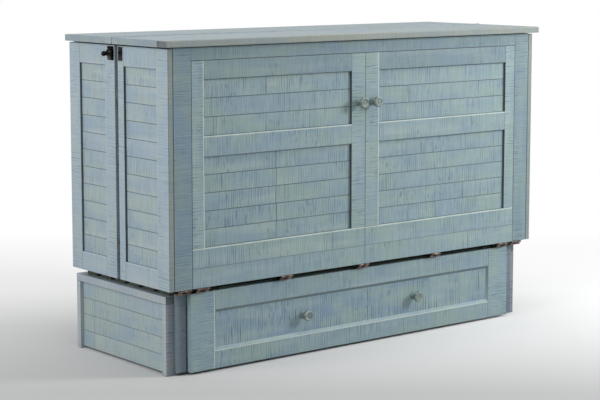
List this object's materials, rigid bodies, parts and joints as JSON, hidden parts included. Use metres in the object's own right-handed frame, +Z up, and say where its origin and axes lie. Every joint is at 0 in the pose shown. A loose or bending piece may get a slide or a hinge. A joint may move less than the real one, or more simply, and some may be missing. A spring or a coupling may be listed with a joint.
{
  "type": "cabinet bed",
  "caption": "Painted plank cabinet bed, closed: folding lid, drop-down front, swinging half sides, rolling base with drawer and a folded mattress inside.",
  "frame": {"origin": "centre of the footprint on the floor", "axes": "+X to the right along the front, the front faces -Y, +Z up"},
  "size_m": [1.7656, 0.65, 1.1134],
  "materials": {
    "painted_wood": "rough-sawn boards, worn grey-blue-green paint",
    "bare_wood": "plain sanded softwood and plywood",
    "mattress_fabric": "quilted knit ticking",
    "copper_metal": "antique copper plate",
    "dark_metal": "dark bronze",
    "zinc_steel": "zinc plated",
    "black_rubber": "matt black"
  },
  "bodies": {
    "root": {"back_frame": "bare_wood", "back_boards": "bare_wood", "base_back_board": "bare_wood", "side_frame_rear_left": "painted_wood", "side_frame_rear_right": "painted_wood", "side_boards_rear_left": "painted_wood", "side_boards_rear_right": "painted_wood", "lid_rear": "painted_wood", "lid_hinge_fixed": "copper_metal", "base_frame_left": "painted_wood", "base_frame_right": "painted_wood", "base_boards_left": "painted_wood", "base_boards_right": "painted_wood", "base_rails": "zinc_steel", "deck_slats": "bare_wood", "mattress_front": "mattress_fabric", "mattress_middle": "mattress_fabric", "mattress_rear": "mattress_fabric", "latch_cases": "dark_metal", "side_hinge_fixed": "copper_metal"},
    "lid": {"lid_front": "painted_wood", "lid_edging": "painted_wood", "lid_hinge_moving": "copper_metal"},
    "side_left": {"side_frame_front_left": "painted_wood", "side_boards_front_left": "painted_wood", "side_hinge_left": "copper_metal", "latch_strike_left": "dark_metal"},
    "side_right": {"side_frame_front_right": "painted_wood", "side_boards_front_right": "painted_wood", "side_hinge_right": "copper_metal", "latch_strike_right": "dark_metal"},
    "carriage": {"face_top_rail": "painted_wood", "face_stiles": "painted_wood", "carriage_sides": "bare_wood", "carriage_slats": "bare_wood", "carriage_runners": "zinc_steel", "drawer_slides_outer": "zinc_steel", "front_hinge_lower": "copper_metal", "caster_forks": "zinc_steel"},
    "front": {"front_outer_frame": "painted_wood", "door_frame_left": "painted_wood", "door_frame_right": "painted_wood", "door_boards_lower_left": "painted_wood", "door_boards_lower_right": "painted_wood", "door_boards_upper_left": "painted_wood", "door_boards_upper_right": "painted_wood", "front_platform": "bare_wood", "door_knobs": "painted_wood", "front_hinge_upper": "copper_metal"},
    "drawer": {"drawer_front": "painted_wood", "drawer_sides": "bare_wood", "drawer_back": "bare_wood", "drawer_bottom": "bare_wood", "drawer_slides_inner": "zinc_steel", "drawer_bumpers": "black_rubber", "drawer_knobs": "painted_wood"},
    "latch_left": {"latch_lever_left": "dark_metal"},
    "latch_right": {"latch_lever_right": "dark_metal"},
    "wheel_left": {"caster_wheel_left": "black_rubber"},
    "wheel_right": {"caster_wheel_right": "black_rubber"}
  },
  "joints": [
    {"name": "lid_fold", "type": "hinge", "parent": "root", "child": "lid", "pos_m": [0, 0.015, 1.1114], "axis": [-1, 0, 0], "range_deg": [0, 180]},
    {"name": "side_left_swing", "type": "hinge", "parent": "root", "child": "side_left", "pos_m": [-0.8335, 0.015, 0.7], "axis": [0, 0, -1], "range_deg": [0, 95]},
    {"name": "side_right_swing", "type": "hinge", "parent": "root", "child": "side_right", "pos_m": [0.8335, 0.015, 0.7], "axis": [0, 0, 1], "range_deg": [0, 95]},
    {"name": "carriage_slide", "type": "slide", "parent": "root", "child": "carriage", "axis": [0, -1, 0], "range_m": [0, 0.46]},
    {"name": "front_fold", "type": "hinge", "parent": "carriage", "child": "front", "pos_m": [0, -0.281, 0.289], "axis": [1, 0, 0], "range_deg": [0, 90]},
    {"name": "drawer_slide", "type": "slide", "parent": "carriage", "child": "drawer", "axis": [0, -1, 0], "range_m": [0, 0.42]},
    {"name": "latch_left_turn", "type": "hinge", "parent": "root", "child": "latch_left", "pos_m": [-0.8675, 0.04633, 1.057], "axis": [-1, 0, 0], "range_deg": [0, 90]},
    {"name": "latch_right_turn", "type": "hinge", "parent": "root", "child": "latch_right", "pos_m": [0.8675, 0.04633, 1.057], "axis": [-1, 0, 0], "range_deg": [0, 90]},
    {"name": "wheel_left_roll", "type": "hinge", "parent": "carriage", "child": "wheel_left", "pos_m": [-0.72, -0.195, 0.022], "axis": [1, 0, 0], "continuous": true},
    {"name": "wheel_right_roll", "type": "hinge", "parent": "carriage", "child": "wheel_right", "pos_m": [0.72, -0.195, 0.022], "axis": [1, 0, 0], "continuous": true}
  ]
}
